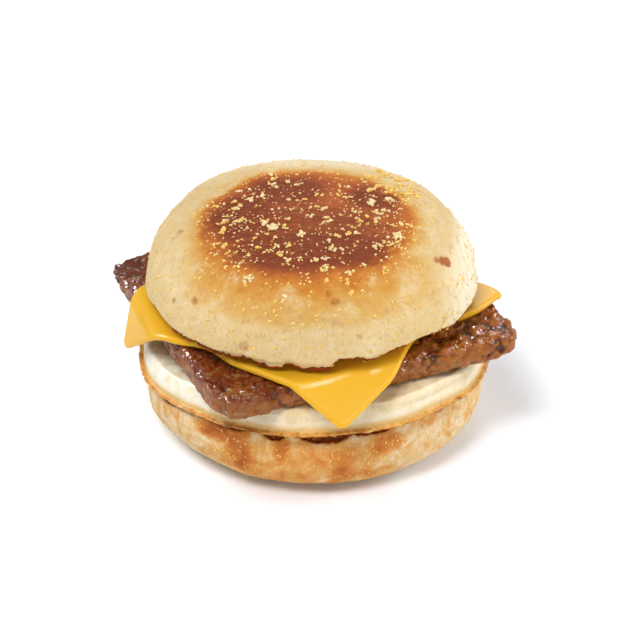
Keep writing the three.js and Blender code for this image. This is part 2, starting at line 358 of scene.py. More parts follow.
def new_shape_tree(name, sizes, *fields):
    """A Geometry Nodes tree with a geometry input and output and one named input for each size.

    Returns the function that adds a node to it, the group's inputs, the surface's place in mm, a function
    that ends the tree, and the values of the surface's fields that are named.
    """
    tree = bpy.data.node_groups.new(name, "GeometryNodeTree")
    for in_out in ("INPUT", "OUTPUT"):
        tree.interface.new_socket("Geometry", in_out=in_out, socket_type="NodeSocketGeometry")
    for size, value in sizes.items():
        kind = "NodeSocketInt" if isinstance(value, int) else "NodeSocketFloat"
        tree.interface.new_socket(size, in_out="INPUT", socket_type=kind).default_value = value
    source = tree.nodes.new("NodeGroupInput").outputs
    add = partial(add_node, tree)
    place = add("VectorMath", {0: add("InputPosition"), "Scale": 1 / MM}, "SCALE")
    values = [add("InputNamedAttribute", {"Name": field}, data_type="FLOAT") for field in fields]

    def finish(geometry):
        tree.links.new(geometry, tree.nodes.new("NodeGroupOutput").inputs[0])
        return tree

    return add, source, place, finish, *values


def push_out(add, geometry, height_mm):
    """Moves a surface out along its normals by a height in mm."""
    metres = add("Math", (height_mm, MM), "MULTIPLY")
    offset = add("VectorMath", {0: add("InputNormal"), "Scale": metres}, "SCALE")
    return add("SetPosition", {"Geometry": geometry, "Offset": offset})


def run_tree(piece, tree, name=None, **sizes):
    """Runs a tree on a piece with its sizes set, and keeps the result as a plain mesh.

    The result takes the place of the piece's own mesh, or with a name becomes a new piece.
    """
    modifier = piece.modifiers.new(tree.name, "NODES")
    modifier.node_group = tree
    for item in tree.interface.items_tree:
        if item.item_type == "SOCKET" and item.in_out == "INPUT" and item.name in sizes:
            modifier[item.identifier] = sizes[item.name]
    graph = bpy.context.evaluated_depsgraph_get()
    mesh = bpy.data.meshes.new_from_object(
        piece.evaluated_get(graph), preserve_all_data_layers=True, depsgraph=graph
    )
    piece.modifiers.remove(modifier)
    if name is None:
        piece.data = mesh
        return piece
    return linked(name, mesh)


def new_material(name, *fields):
    """An empty material.

    Returns it, the function that adds a node to it, the object's own coordinates in mm, and the values of
    the surface's fields that are named.
    """
    made = bpy.data.materials.new(name)
    made.use_nodes = True
    made.node_tree.nodes.clear()
    add = partial(add_node, made.node_tree)
    place = add("VectorMath", {0: add("TexCoord", output="Object"), "Scale": 1 / MM}, "SCALE")
    return made, add, place, *(add("Attribute", attribute_name=field, output="Fac") for field in fields)


def finish_material(made, add, shader_inputs):
    """Ends a material with its shader."""
    add("OutputMaterial", {"Surface": add("BsdfPrincipled", shader_inputs)})
    return made


# ---------------------------------------------------------------- finishes
def stained(add, colour, stains):
    """Lays stains over a colour, one after another.

    Each is (where, start, end, strength, stain, blend): the stain is missing where the value where is at
    start, and lies at its full strength where it is at end.
    """
    for where, start, end, strength, stain, blend in stains:
        amount = add("MapRange", {
            "Value": where, "From Min": start, "From Max": end, "To Max": strength,
        }, interpolation_type="SMOOTHSTEP")
        colour = add("Mix", {
            "Factor": amount, "A": colour, "B": stain}, data_type="RGBA", blend_type=blend, output="Result")
    return colour


BREAD_SHEEN = {
    "Roughness": 0.75, "IOR": 1.4, "Specular IOR Level": 0.12,
    "Subsurface Weight": 0.15, "Subsurface Radius": (1.0, 0.6, 0.35), "Subsurface Scale": 1.0 * MM,
}


def dough_skin(add, place, colour, bare, bump_strength):
    """What the crown and the base share: mottling, yellow maize flecks, a dark torn edge and pores.

    bare is how little the skin is toasted, from 0 to 1: the mottling shows there.
    """
    # Pale floury patches, tan freckles, the skin's grain, how the split edge is torn, and wrinkles with
    # pores: each a noise of (width in mm, detail, roughness, distortion).
    mottle, freckle, grain, torn, wrinkles, pores = (
        add("TexNoise", {
            "Vector": place, "Scale": 1 / width, "Detail": detail, "Roughness": rough, "Distortion": twist})
        for width, detail, rough, twist in (
            (9, 4, 0.6, 0), (2.5, 4, 0.65, 0.4), (0.8, 3, 0.7, 0), (1.5, 3, 0.6, 0), (2.2, 5, 0.6, 0.6),
            (0.6, 2, 0.6, 0))
    )
    mottle, freckle = (add("Math", (pattern, bare), "MULTIPLY") for pattern in (mottle, freckle))
    # Hairline cracks in the skin, round plates about 7 mm wide that are bent by noise.
    bend = add("TexNoise", {"Vector": place, "Scale": 1 / 5, "Detail": 3}, output="Color")
    bent = add("VectorMath", (bend, (9.0, 9.0, 9.0), place), "MULTIPLY_ADD")
    cracks = add("TexVoronoi", {"Vector": bent, "Scale": 1 / 7}, feature="DISTANCE_TO_EDGE")
    # Flecks of maize baked into the skin: at most one in each 2.6 mm cell, up to 1.4 mm across.
    bend = add("TexNoise", {"Vector": place, "Scale": 1 / 1.2, "Detail": 1}, output="Color")
    bent = add("VectorMath", (place, bend), "ADD")
    cells = add("TexVoronoi", {"Vector": bent, "Scale": 1 / 2.6})
    chance = add("SeparateColor", {"Color": cells.node.outputs["Color"]})
    fleck = add("Math", (chance, 0.27), "MULTIPLY")
    fleck = add("Math", (fleck, cells), "SUBTRACT")
    # The split face is toasted gold, and dark along its torn edge.
    cut, face = (add("Attribute", attribute_name=name, output="Fac") for name in ("cut", "face"))
    torn = add("Math", (torn, 0.9, cut), "MULTIPLY_ADD")
    colour = stained(add, colour, [
        (mottle, 0.45, 0.72, 0.5, "#dccda8", "MIX"),
        (freckle, 0.5, 0.72, 0.5, "#b98e50", "MIX"),
        (grain, 0.55, 0.25, 0.16, "#a47a45", "MULTIPLY"),
        (cracks, 0.03, 0.0, 0.09, "#b08a52", "MULTIPLY"),
        (fleck, 0.0, 0.1, 0.65, "#d8ac3c", "MIX"),
        (torn, 0.6, 0.85, 0.9, "#c07c3c", "MIX"),
        (torn, 0.8, 1.0, 1.0, "#7c3410", "MIX"),
        (face, 0.0, 1.0, 0.8, "#c08a4c", "MIX"),
    ])
    skin = add("Math", (pores, 0.3, wrinkles), "MULTIPLY_ADD")
    return colour, add("Bump", {"Height": skin, "Strength": bump_strength, "Distance": 0.5 * MM})


def crown_finish():
    """Griddled muffin crust: soft pale dough with a patch toasted by the griddle.

    It gives the eye cream dough turning gold and then red-brown towards the patch, which is streaked where
    its fine wrinkles took the heat, and a thin dark edge where the muffin was split.
    """
    made, add, place, toast, darkest, scorch, pale = new_material(
        "griddled_muffin_crown", "toast", "darkest", "scorch", "pale")
    # The patch's edge wanders over 9 mm and frays over 2 mm.
    wander = add("TexNoise", {"Vector": place, "Scale": 1 / 9, "Detail": 3, "Roughness": 0.55})
    fray = add("TexNoise", {"Vector": place, "Scale": 1 / 2, "Detail": 4, "Roughness": 0.65})
    away = add("Math", (wander, 0.42, toast), "MULTIPLY_ADD")
    away = add("Math", (fray, 0.26, away), "MULTIPLY_ADD")
    away = add("Math", (away, 0.34), "SUBTRACT")
    halved = add("Math", (away, 0.5), "MULTIPLY")  # as a ramp ends at 1
    colour = add("ValToRGB", {"Fac": halved}, stops=[
        (0.0, "#ac5a22"), (0.43, "#a45220"), (0.5, "#b0621e"), (0.55, "#bf7a2a"), (0.61, "#c89546"),
        (0.7, "#cca766"), (0.82, "#d0b582")])

    # Along the wrinkles, darker toast lies in streaks 7 mm long, and finer wrinkles 2 mm long show as thin
    # dark and light lines: each a noise of (length, thickness, detail, roughness, distortion).
    streaks, lines = (
        add("TexNoise", {
            "Vector": add("VectorMath", (place, (1 / long, 1 / thick, 1 / thick)), "MULTIPLY"),
            "Scale": 1.0, "Detail": detail, "Roughness": rough, "Distortion": twist})
        for long, thick, detail, rough, twist in ((7, 1.3, 4, 0.6, 0.5), (2, 0.55, 3, 0.7, 0))
    )
    dark = add("Math", (streaks, 0.9, darkest), "MULTIPLY_ADD")
    bare = add("MapRange", {
        "Value": away, "From Min": 0.8, "From Max": 1.25}, interpolation_type="SMOOTHSTEP")
    toasted = add("Math", (1.0, bare), "SUBTRACT")
    dark = add("Math", (dark, toasted), "MULTIPLY")
    low_lines = add("Math", (lines, -1.0, toasted), "MULTIPLY_ADD")
    high_lines = add("Math", (lines, toasted), "MULTIPLY")
    # A scorched spot is broken up over 2 mm.
    scorch = add("Math", (fray, 1.6, scorch), "MULTIPLY_ADD")
    colour = stained(add, colour, [
        (dark, 0.3, 1.35, 0.88, "#702a0c", "MIX"),
        (low_lines, 0.45, 0.75, 0.5, "#8a421e", "MULTIPLY"),
        (high_lines, 0.52, 0.75, 0.5, "#cc7c3c", "MIX"),
        # pale lightens the crown towards its right, which is painted light, and towards its back
        (pale, 0.0, 1.0, 1.0, "#eadfc4", "MIX"),
    ])
    colour, bump = dough_skin(add, place, colour, bare, 0.5)
    colour = stained(add, colour, [(scorch, 0.9, 1.8, 0.9, "#9a4c12", "MIX")])
    return finish_material(made, add, {"Base Color": colour, "Normal": bump, **BREAD_SHEEN})


def base_finish():
    """Griddled muffin crust: the muffin's lower half, baked against the griddle.

    It gives the eye golden dough, browned in orange patches and streaks, and a dark torn rim under the egg.
    """
    made, add, place, browned = new_material("griddled_muffin_base", "browned")
    patches = add("TexNoise", {
        "Vector": place, "Scale": 1 / 6.5, "Detail": 5, "Roughness": 0.68, "Distortion": 0.6})
    toast = add("Math", (patches, 1.7, browned), "MULTIPLY_ADD")
    toast = add("Math", (toast, 0.5), "MULTIPLY")
    colour = add("ValToRGB", {"Fac": toast}, stops=[
        (0.24, "#e2d2b2"), (0.4, "#dabb8c"), (0.52, "#d09a56"), (0.66, "#c47a38"), (0.86, "#a05424")])
    bare = add("MapRange", {"Value": toast, "From Min": 0.6, "From Max": 0.4})
    colour, bump = dough_skin(add, place, colour, bare, 0.6)
    return finish_material(made, add, {"Base Color": colour, "Normal": bump, **BREAD_SHEEN})


def cornmeal_finish():
    """Ground maize: dry grit, from nearly white flour to yellow horny grains that let light through."""
    made, add, _, tone = new_material("ground_maize", "tone")
    colour = add("ValToRGB", {"Fac": tone}, stops=[
        (0.0, "#dfc896"), (0.4, "#dfc074"), (0.7, "#deb74a"), (1.0, "#dbab28")])
    return finish_material(made, add, {
        "Base Color": colour, "Roughness": 0.45, "IOR": 1.5,
        "Subsurface Weight": 0.15, "Subsurface Radius": (1.0, 0.7, 0.35), "Subsurface Scale": 0.5 * MM,
    })


def egg_finish():
    """Fried egg white: set protein, moist and slightly see-through, with a thin edge fried golden brown.

    It gives the eye a soft milky white with cream clouds, small wet glints, and a crisp brown line at
    its foot.
    """
    made, add, place, edge, low, greasy = new_material("fried_egg_white", "edge", "low", "greasy")
    cloud = add("TexNoise", {"Vector": place, "Scale": 1 / 5, "Detail": 4, "Roughness": 0.6})
    white = add("ValToRGB", {"Fac": cloud}, stops=[(0.35, "#dccfae"), (0.5, "#e6dec8"), (0.68, "#ebe6d9")])
    # The fried edge is uneven over 2.5 mm, and the yellow above it over 5 mm.
    fray = add("TexNoise", {"Vector": place, "Scale": 1 / 2.5, "Detail": 4, "Roughness": 0.7})
    brown = add("Math", (fray, 1.5, edge), "MULTIPLY_ADD")
    yellow = add("Math", (cloud, 0.9, low), "MULTIPLY_ADD")
    colour = stained(add, white, [
        # Grease and painted shade beside the sausage.
        (greasy, 0.0, 1.0, 0.45, "#e4c88a", "MULTIPLY"),
        (yellow, 0.6, 1.3, 0.85, "#ecc468", "MULTIPLY"),
        (brown, 1.25, 1.55, 0.9, "#c28430", "MIX"),
        (brown, 1.55, 1.85, 0.9, "#783e10", "MIX"),
    ])
    wet = add("TexNoise", {"Vector": place, "Scale": 1 / 1.6, "Detail": 3, "Roughness": 0.55})
    bump = add("Bump", {"Height": wet, "Strength": 0.45, "Distance": 0.5 * MM})
    return finish_material(made, add, {
        "Base Color": colour, "Roughness": 0.3, "IOR": 1.4, "Specular IOR Level": 0.3, "Normal": bump,
        "Subsurface Weight": 0.5, "Subsurface Radius": (1.0, 0.85, 0.6), "Subsurface Scale": 2.0 * MM,
    })


def sausage_finish():
    """Griddled minced sausage: browned meat glazed with its own fat.

    It gives the eye red-brown lumps with their tops painted lighter as painted light, paler tan fat between
    some of them, cracks darkened by painted shade, and small wet highlights.
    """
    made, add, place, relief, seared, wall, corner = new_material(
        "griddled_sausage", "relief", "seared", "wall", "corner")
    # Noises of (width in mm, detail, roughness): the mince's broad tones and its grains, the dark red
    # blotches where the griddle seared it, whether its cracks hold fat, the grains that stand out, and the
    # glaze.
    mince, grain, blotch, fatty, fine, glaze = (
        add("TexNoise", {"Vector": place, "Scale": 1 / width, "Detail": detail, "Roughness": rough})
        for width, detail, rough in (
            (3, 5, 0.75), (0.8, 3, 0.7), (7, 4, 0.65), (12, 1, 0.5), (1.1, 3, 0.6), (2.5, 0, 0.5))
    )
    colour = add("ValToRGB", {"Fac": mince}, stops=[
        (0.3, "#6c2604"), (0.45, "#8c4208"), (0.56, "#a05c14"), (0.68, "#b48438")])
    blotch = add("Math", (seared, 0.3, blotch), "MULTIPLY_ADD")
    # Cracks are filled with pale fat in some places, and elsewhere are darkened the deeper they lie: painted
    # shade.
    lean = add("Math", (1.1, fatty), "SUBTRACT")
    deep = add("Math", (1.0, relief), "SUBTRACT")
    fat = add("Math", (deep, fatty), "MULTIPLY")
    shaded_cracks = add("Math", (deep, lean), "MULTIPLY")
    # Dark specks of 0.7 mm, where fat and pepper charred.
    specks = add("TexVoronoi", {"Vector": place, "Scale": 1 / 1.8})
    colour = stained(add, colour, [
        (blotch, 0.5, 0.8, 0.8, "#641a04", "MIX"),
        (grain, 0.5, 0.25, 0.7, "#7a4018", "MULTIPLY"),
        (grain, 0.55, 0.75, 0.5, "#c48c50", "MIX"),
        (wall, 0.2, 1.0, 0.5, "#a0601f", "MIX"),
        (specks, 0.22, 0.08, 0.7, "#3c1204", "MIX"),
        # The lumps' highest points are lightened: painted light.
        (relief, 0.65, 1.0, 0.25, "#a8743c", "MIX"),
        (fat, 0.3, 0.5, 0.7, "#a87c46", "MIX"),
        # Deep cracks darkened: painted shade.
        (shaded_cracks, 0.25, 0.55, 0.8, "#361204", "MIX"),
        (corner, 0.0, 0.8, 0.5, "#421806", "MIX"),
    ])
    # The grains stand out of the griddled face, under a glaze of fat that fills the gaps between them.
    bump, glazed = (add("Bump", {"Height": h, "Strength": 0.8, "Distance": 1.0 * MM}) for h in (fine, glaze))
    return finish_material(made, add, {
        "Base Color": colour, "Roughness": 0.5, "IOR": 1.4, "Specular IOR Level": 0.08, "Normal": bump,
        "Coat Weight": 0.55, "Coat Roughness": 0.08, "Coat IOR": 1.45, "Coat Normal": glazed,
        "Subsurface Weight": 0.08, "Subsurface Radius": (1.0, 0.4, 0.2), "Subsurface Scale": 1.0 * MM,
    })


def cheese_finish():
    """Processed cheese: a smooth, waxy, slightly see-through slice, softened by heat.

    It gives the eye a deep warm yellow that glows at thin edges, with broad, soft highlights.
    """
    made, add, place = new_material("processed_cheese")
    cloud = add("TexNoise", {"Vector": place, "Scale": 1 / 16, "Detail": 2, "Roughness": 0.5})
    colour = add("ValToRGB", {"Fac": cloud}, stops=[(0.3, "#d9a41f"), (0.7, "#ddab28")])
    soft = add("TexNoise", {"Vector": place, "Scale": 1 / 5, "Detail": 2, "Roughness": 0.4})
    bump = add("Bump", {"Height": soft, "Strength": 0.12, "Distance": 0.6 * MM})
    return finish_material(made, add, {
        "Base Color": colour, "Roughness": 0.28, "IOR": 1.45, "Specular IOR Level": 0.2, "Normal": bump,
        "Subsurface Weight": 0.4, "Subsurface Radius": (1.0, 0.6, 0.15), "Subsurface Scale": 2.0 * MM,
    })


# ---------------------------------------------------------------- relief
def layered_relief(add, place, size, layers):
    """The sum of several layers of noise, in mm. Each is (width's name, height's name, detail)."""
    total = None
    for width, height, detail in layers:
        scale = add("Math", (1.0, size[width]), "DIVIDE")
        noise = add("TexNoise", {"Vector": place, "Scale": scale, "Detail": detail, "Roughness": 0.6})
        centred = add("Math", (noise, 2.0, -1.0), "MULTIPLY_ADD")
        layer = add("Math", (centred, size[height]), "MULTIPLY")
        total = layer if total is None else add("Math", (total, layer), "ADD")
    return total


def bread_relief():
    """A muffin's surface: broad lumps, then a leathery skin, and an open crumb where it is split."""
    add, size, place, finish, cut = new_shape_tree("bread_relief", {
        "Lump width": 15.0, "Lump height": 0.9, "Skin width": 3.2, "Skin height": 0.2,
        "Crumb width": 2.6, "Crumb depth": 1.1}, "cut")
    bumps = layered_relief(add, place, size, [
        ("Lump width", "Lump height", 1.0), ("Skin width", "Skin height", 4.0)])
    scale = add("Math", (1.0, size["Crumb width"]), "DIVIDE")
    holes = add("TexNoise", {"Vector": place, "Scale": scale, "Detail": 3.0, "Roughness": 0.7})
    deep = add("MapRange", {
        "Value": holes, "From Min": 0.45, "From Max": 0.7, "To Max": -1.0}, interpolation_type="SMOOTHSTEP")
    deep = add("Math", (deep, size["Crumb depth"]), "MULTIPLY")
    total = add("Math", (deep, cut, bumps), "MULTIPLY_ADD")
    return finish(push_out(add, size["Geometry"], total))


def egg_relief():
    """A fried egg's side: soft ripples and small blisters."""
    add, size, place, finish = new_shape_tree("egg_relief", {
        "Ripple width": 8.0, "Ripple height": 0.45, "Blister width": 2.2, "Blister height": 0.22})
    bumps = layered_relief(add, place, size, [
        ("Ripple width", "Ripple height", 2.0), ("Blister width", "Blister height", 2.0)])
    return finish(push_out(add, size["Geometry"], bumps))


def sausage_relief():
    """Lumps of mince with cracks between them. Keeps how high each point stands, 0 to 1, as relief."""
    add, size, place, finish, coarse = new_shape_tree("sausage_relief", {
        "Lump width": 4.6, "Lump height": 1.3, "Mince width": 2.1, "Mince height": 0.8,
        "Pore width": 2.6, "Pore depth": 0.5}, "coarse")
    lump_scale, mince_scale, pore_scale = (
        add("Math", (1.0, size[kind + " width"]), "DIVIDE") for kind in ("Lump", "Mince", "Pore"))
    # The lumps' cells are bent by noise, so that no two are alike.
    bend = add("TexNoise", {"Vector": place, "Scale": 1 / 3, "Detail": 2.0}, output="Color")
    bent = add("VectorMath", (bend, (1.8, 1.8, 1.8), place), "MULTIPLY_ADD")
    cells = add("TexVoronoi", {"Vector": bent, "Scale": lump_scale, "Smoothness": 0.2}, feature="SMOOTH_F1")
    mound = add("MapRange", {
        "Value": cells, "From Min": 0.78, "From Max": 0.28}, interpolation_type="SMOOTHSTEP")
    lumps = add("Math", (mound, size["Lump height"]), "MULTIPLY")
    lumps = add("Math", (lumps, coarse), "MULTIPLY")
    mince = add("TexNoise", {"Vector": place, "Scale": mince_scale, "Detail": 1.0, "Roughness": 0.5})
    mince = add("MapRange", {
        "Value": mince, "From Min": 0.25, "From Max": 0.6}, interpolation_type="SMOOTHSTEP")
    total = add("Math", (mince, size["Mince height"], lumps), "MULTIPLY_ADD")
    most = add("Math", (size["Lump height"], coarse, size["Mince height"]), "MULTIPLY_ADD")
    relief = add("Math", (total, most), "DIVIDE")
    kept = add("StoreNamedAttribute", {
        "Geometry": size["Geometry"], "Name": "relief", "Value": relief}, data_type="FLOAT", domain="POINT")
    # Small pores, where fat ran out.
    pore = add("TexVoronoi", {"Vector": place, "Scale": pore_scale})
    pore = add("MapRange", {
        "Value": pore, "From Min": 0.12, "From Max": 0.26, "To Min": -1.0, "To Max": 0.0,
    }, interpolation_type="SMOOTHSTEP")
    pore = add("Math", (pore, size["Pore depth"]), "MULTIPLY")
    sunk = add("Math", (total, most), "SUBTRACT")
    return finish(push_out(add, kept, add("Math", (sunk, pore), "ADD")))


# ---------------------------------------------------------------- the muffin's base
# Hollows in the split rim, where it stands open under the egg: (direction, half width, depth, flat share).
BASE_HOLLOWS = [
    (-118, 8, 1.2, 0.1),
    (-103, 6, 2.3, 0.1),
    (-86, 13, 2.7, 0.2),
    (-69, 13, 1.7, 0.1),
    (-43, 5, 1.3, 0.1),
    (-150, 9, 1.0, 0.1),
    (35, 14, 2.4, 0.1),
    (100, 18, 2.8, 0.2),
    (165, 12, 2.0, 0.1),
]
# Where its foot is drawn in, in the same terms.
BASE_WAIST = [(-138, 26, 1.5, 0.3)]
# Where the rim, and the egg's edge on it, sit lower than the middle.
RIM_SAGS = [(-18, 34, 2.4, 0.0), (208, 26, 1.8, 0.0)]
SEAT_START = 0.78 * BASE_CUT_RADIUS


def sag_at(radius, angle):
    """How far the rim of the base, and the egg on it, sag."""
    return smoothstep(SEAT_START, BASE_CUT_RADIUS, radius) * hollowed(angle, RIM_SAGS)


def muffin_base():
    widest, widest_height = BASE_WIDEST
    profile = np.concatenate([
        [[0, 0], [BASE_FOOT_RADIUS * 0.55, 0]],
        arc((BASE_FOOT_RADIUS, 0), (widest, widest_height), 40),
        [[widest - 0.2, BASE_HEIGHT * 0.8], [widest - 1, BASE_HEIGHT - 0.9]],
        [[BASE_CUT_RADIUS, BASE_HEIGHT], [BASE_CUT_RADIUS * 0.5, BASE_HEIGHT], [0, BASE_HEIGHT]],
    ])

    def hidden(radius, height):
        return (radius < BASE_CUT_RADIUS - 4) & (height > BASE_HEIGHT / 2) | (radius < BASE_FOOT_RADIUS - 6)

    angle, radius, height, faces = turned(profile, BASE_MESH, hidden)
    outer = smoothstep(0.3, 1, radius / widest)
    high = smoothstep(0.1, 1, height / BASE_HEIGHT)
    outline = [(2, 0.4, 0.35), (3, 2.1, 0.4), (5, 1.2, 0.3), (9, 0.3, 0.16), (14, 2.2, 0.1)]
    spread = radius * (1 + outer * high * waves(angle, outline) / widest)
    near_rim = smoothstep(SEAT_START, BASE_CUT_RADIUS, radius)
    drop = near_rim * (hollowed(angle, BASE_HOLLOWS) + np.abs(ragged(angle, 3, range(24, 90, 5), 0.28)))
    drop += sag_at(radius, angle)
    z = height - drop * smoothstep(BASE_HEIGHT * 0.72, BASE_HEIGHT, height)
    cut = smoothstep(BASE_HEIGHT - 1.2, BASE_HEIGHT, height) * smoothstep(widest, BASE_CUT_RADIUS, radius)
    spread -= smoothstep(BASE_HEIGHT * 0.8, 0, height) * outer * hollowed(angle, BASE_WAIST)
    places = np.stack([spread * np.cos(angle), spread * np.sin(angle), z], 1)
    # The base's sides are lightened by BASE_PALE: painted light.
    browned = 0.75 * strongest(places, BASE_BROWNED) - 0.35 * strongest(places, BASE_PALE)
    foot = (1 - smoothstep(0.5, 2.5, height)) * (1 - smoothstep(27, 37, radius))
    browned = np.maximum(browned, 0.8 * foot)
    face = cut * smoothstep(BASE_CUT_RADIUS, BASE_CUT_RADIUS - 2, radius)
    piece = new_piece("toasted_base", places, faces, cut=cut, face=face, browned=browned)
    return run_tree(piece, bread_relief(), **{"Lump height": 0.5})


# ---------------------------------------------------------------- the muffin's crown
# How high the split rim stands over the cheese, as (direction, height) round the crown.
CROWN_RIM = [
    (-180, 2.2), (-171, 2.5), (-157, 3.8), (-151, 3.2), (-147, 1.4), (-134, 1.5), (-128, 1.7), (-121, 1.1),
    (-112, 2.1), (-108, 1.4), (-103, 0.2), (-99.5, 0.5), (-97.5, 2.0), (-94.5, 1.6), (-92, 0.5), (-83, 1.1),
    (-80.5, 4.2), (-73.5, 3.8), (-70.5, 2.1), (-64, 2.1), (-57, 3.5), (-50, 4.6), (-44, 3.8), (-36, 2.3),
    (-29, 1.5), (-20, 1.5), (-10, 0.7), (0, 1.0), (20, 2.2), (45, 1.0), (70, 2.4), (95, 1.2), (120, 2.6),
    (145, 1.2), (165, 2.0),
]
# Where the toasted edge is wider: (direction, half width, share, flat share).
CROWN_LIP = [(-132, 17, 1, 0.5), (-88, 8, 0.6, 0.3), (-58, 8, 0.5, 0.2)]
# Broad swells and dips of the dome: (x, y, half width, height).
CROWN_SWELLS = [
    (-17.0, 20.0, 17.0, 1.1),
    (33.0, 22.0, 12.0, 1.3),
    (-38.0, 12.0, 12.0, -1.2),
]


def from_patch(places):
    """How far places lie from the middle of the crown's patch: 1 is its edge."""
    middle, half = CROWN_PATCH
    return np.hypot(*((places[:, :2] - middle) / half).T)


def muffin_crown():
    rise = CROWN_HEIGHT - CROWN_WIDEST
    climb = np.radians(np.linspace(0, 90, 120))
    side_power, top_power = 0.5, 0.94  # of the dome, which is steeper at its side than a ball
    dome_radius = CROWN_RADIUS * np.cos(climb).clip(0) ** side_power
    dome = np.stack([dome_radius, CROWN_WIDEST + rise * np.sin(climb) ** top_power], 1)
    dome[-1, 0] = 0
    profile = np.concatenate([
        [[0, 0], [CROWN_CUT_RADIUS * 0.5, 0], [CROWN_CUT_RADIUS - 0.4, 0], [CROWN_CUT_RADIUS, 0.25]],
        [[CROWN_CUT_RADIUS, 0.8], [CROWN_CUT_RADIUS - 0.2, 1.3]],
        dome,
    ])

    def hidden(radius, height):
        return (radius < CROWN_CUT_RADIUS - 4) & (height < CROWN_HEIGHT / 3)

    angle, radius, height, faces = turned(profile, CROWN_MESH, hidden)
    outer = smoothstep(0.3, 1, radius / CROWN_RADIUS)
    outline = [(2, 2.6, 0.4), (3, 0.6, 0.45), (5, 1.7, 0.25), (8, 0.2, 0.15)]
    spread = radius * (1 + outer * waves(angle, outline) / CROWN_RADIUS)
    x, y = spread * np.cos(angle), spread * np.sin(angle)
    tip = x * CROWN_LEAN[0] + y * CROWN_LEAN[1]
    for middle_x, middle_y, half_width, swell in CROWN_SWELLS:
        tip += swell * (1 - smoothstep(0, 1, np.hypot(x - middle_x, y - middle_y) / half_width))
    tip *= smoothstep(0, CROWN_HEIGHT, height)
    near_rim = smoothstep(CROWN_CUT_RADIUS * 0.8, CROWN_CUT_RADIUS, radius)
    near_rim *= 1 - smoothstep(0, CROWN_WIDEST * 2, height)
    lift = np.interp(np.degrees(angle), *np.array(CROWN_RIM).T, period=360)
    lift += np.abs(ragged(angle, 5, range(20, 110, 6), 0.4))
    z = height + tip + near_rim * lift + CROWN_BOTTOM
    places = np.stack([x + CROWN_CENTRE[0], y + CROWN_CENTRE[1], z], 1)
    places = pressed_in(places, (*CROWN_CENTRE, CROWN_BOTTOM), CROWN_FOLDS)

    toast = from_patch(places)
    # The gold fades over a wide band in front, and a narrow one at the sides and behind.
    toast += np.maximum(toast - 1, 0) * 2.2 * smoothstep(-34, -10, places[:, 1])
    on_top = smoothstep(10, 16, height)
    toast = 2 - (2 - np.minimum(toast, 2)) * on_top
    darkest = strongest(places, CROWN_DARKEST) * (1 - strongest(places, CROWN_CLEARING))
    scorch = strongest(places, CROWN_SCORCHES)
    # Lighter towards the right side, where the light from the right falls on it: painted light. It is paler
    # towards the back too.
    pale = 0.9 * smoothstep(31, 46, places[:, 0]) * (1 - smoothstep(18, 26, height))
    pale = np.maximum(pale, 0.55 * smoothstep(15, 26, places[:, 1]))
    lip = 1.4 + 0.8 * hollowed(angle, CROWN_LIP)
    cut = 1 - smoothstep(0.3, 1, height / lip)
    face = smoothstep(CROWN_CUT_RADIUS - 0.6, CROWN_CUT_RADIUS - 2, radius) * (height < 1)
    piece = new_piece("toasted_crown", places, faces, cut=cut, face=face, toast=toast, darkest=darkest,
                      scorch=scorch, pale=pale)
    return run_tree(piece, bread_relief())


# ---------------------------------------------------------------- the egg
# How many waves of each kind go round its frayed edge.
EGG_TEETH = (17, 29, 43, 58, 71, 89, 104, 127, 151, 173)
# Creases along the egg's side, where it was folded a little: (one end, other end, depth, half width).
EGG_FOLDS = [
    ((22.0, -43.5, 27.6), (30.0, -39.0, 27.2), 0.35, 1.3),
    ((30.0, -39.0, 27.2), (38.0, -31.0, 26.6), 0.45, 1.3),
    ((38.0, -31.0, 26.6), (44.5, -21.5, 25.6), 0.35, 1.3),
    ((-44.0, -20.0, 27.5), (-38.0, -30.0, 27.0), 0.4, 1.0),
    ((10.0, 47.0, 27.0), (-12.0, 47.0, 27.5), 0.7, 1.1),
]


def egg_patty():
    side = arc((0, 0), (1, 1), 24)
    wall_radius = EGG_RADIUS - 1.4
    wall = np.stack([
        wall_radius - (wall_radius - EGG_TOP_RADIUS) * side[:, 1],
        EGG_FLANGE + (EGG_HEIGHT - EGG_FLANGE) * side[:, 0],
    ], 1)
    profile = np.concatenate([
        [[0, 0], [EGG_RADIUS - 2, 0], [EGG_RADIUS - 0.3, 0.3], [EGG_RADIUS, 0.9]],
        wall,
        [[EGG_TOP_RADIUS * 0.72, EGG_HEIGHT], [EGG_TOP_RADIUS * 0.36, EGG_HEIGHT], [0, EGG_HEIGHT]],
    ])
    angle, radius, height, faces = turned(profile, EGG_MESH, lambda r, z: r < EGG_TOP_RADIUS - 16)
    outline = [(2, 1.1, 0.35), (3, 0.2, 0.3), (7, 2.4, 0.25), (11, 0.9, 0.2)]
    edge = smoothstep(2.2, 0.4, height) * smoothstep(EGG_TOP_RADIUS - 3, EGG_RADIUS - 1, radius)
    fray = ragged(angle, 11, EGG_TEETH, 0.17) * edge
    spread = radius + smoothstep(0.5, 1, radius / EGG_RADIUS) * waves(angle, outline) + fray
    z = height + EGG_BOTTOM - sag_at(radius, angle)
    places = np.stack([spread * np.cos(angle), spread * np.sin(angle), z], 1)
    places = pressed_in(places, (0, 0, EGG_BOTTOM), EGG_FOLDS)
    low = 1 - smoothstep(0.5, 5, height)
    # Beside the sausage the egg is tinted by its fat, and darkened under it as painted shade.
    beside = rotated(*(places[:, :2] - SAUSAGE_CENTRE).T, -SAUSAGE_TURN)
    outside = np.max(np.abs(beside).T - np.array(SAUSAGE_SIDES) / 2, axis=1)
    greasy = (1 - smoothstep(3, 14, outside)) * smoothstep(0.5, EGG_HEIGHT - 2, height)
    greasy *= smoothstep(-34, -16, places[:, 0])
    piece = new_piece("fried_egg", places, faces, edge=edge, low=low, greasy=greasy)
    return run_tree(piece, egg_relief())


# ---------------------------------------------------------------- the sausage
# Where its outline bulges past the square, before it is turned: (direction, half width, bulge, flat share).
SAUSAGE_BULGES = [(-129, 6, 1.8, 0.7)]


